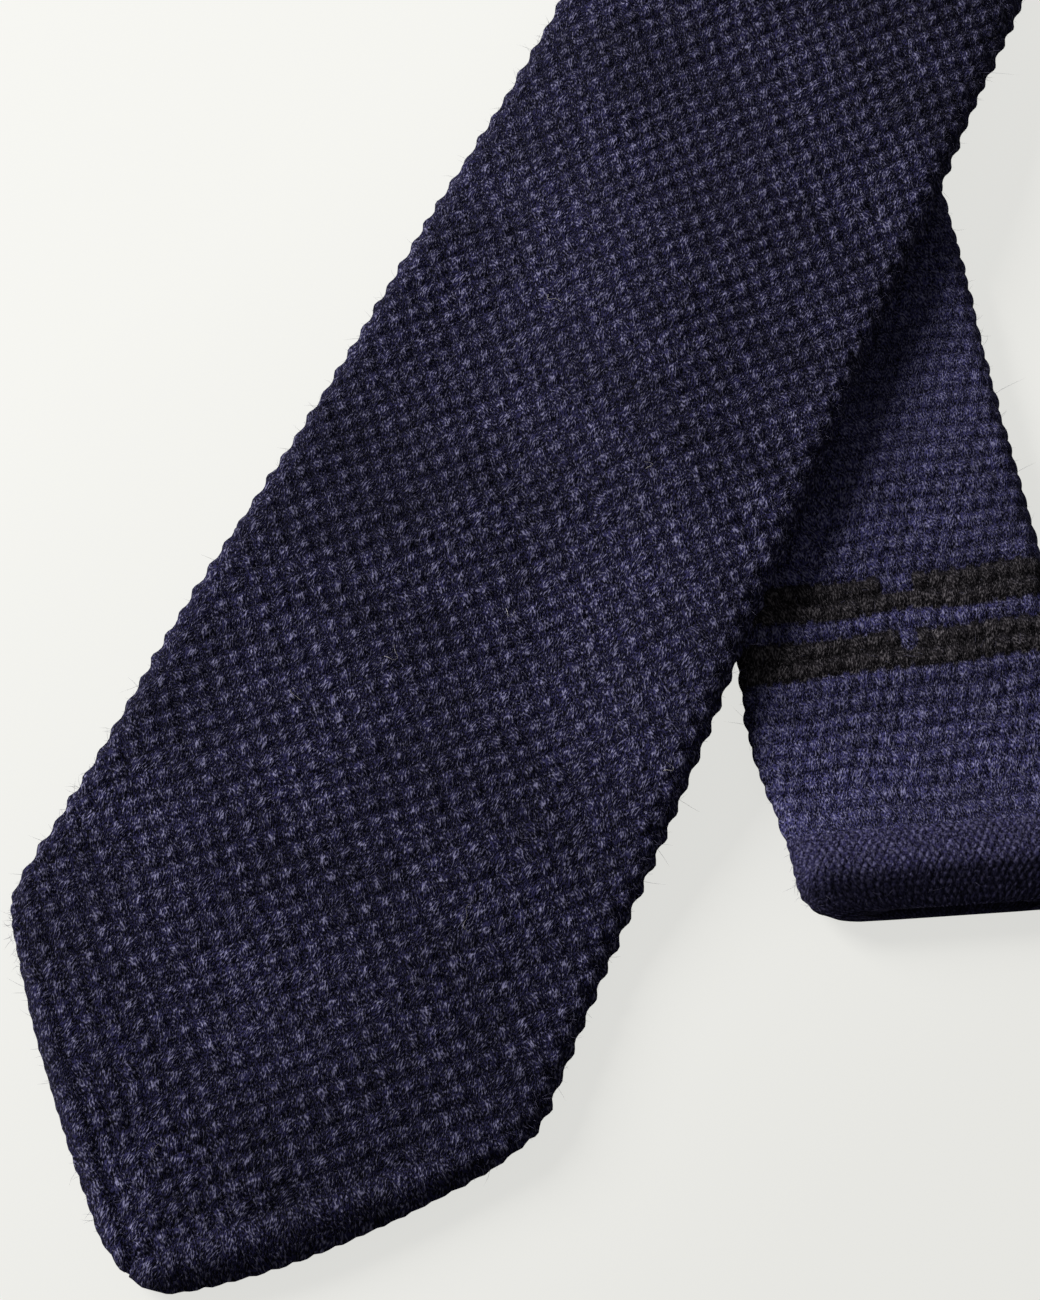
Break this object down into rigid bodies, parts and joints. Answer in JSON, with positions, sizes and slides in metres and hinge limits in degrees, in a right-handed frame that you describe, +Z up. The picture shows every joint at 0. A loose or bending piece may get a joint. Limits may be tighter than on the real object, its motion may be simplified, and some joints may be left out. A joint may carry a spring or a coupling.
{
  "type": "knit tie",
  "caption": "Knitted necktie laid flat in a loop: a pointed front blade crosses over a narrower, square-ended tail with dark bands.",
  "frame": {"origin": "on the table, under the middle of the whole tie's bounding box", "axes": "+Z up from the table, +Y along the middle of the loop, from the two free ends to the neck, +X towards the side that the front blade leans to"},
  "size_m": [0.2396, 0.6902, 0.0095],
  "materials": {
    "navy_wool": "knitted navy wool with a coarse raised stitch and a light fuzz",
    "black_wool": "the same knitting in black wool"
  },
  "bodies": {
    "root": {"wide_blade": "navy_wool", "blade_taper": "navy_wool", "neck_band": "navy_wool", "tail_taper": "navy_wool", "tail_blade": "navy_wool", "tail_band_upper": "black_wool", "tail_band_between": "navy_wool", "tail_band_lower": "black_wool", "tail_end": "navy_wool", "tail_hem": "navy_wool"}
  },
  "joints": []
}
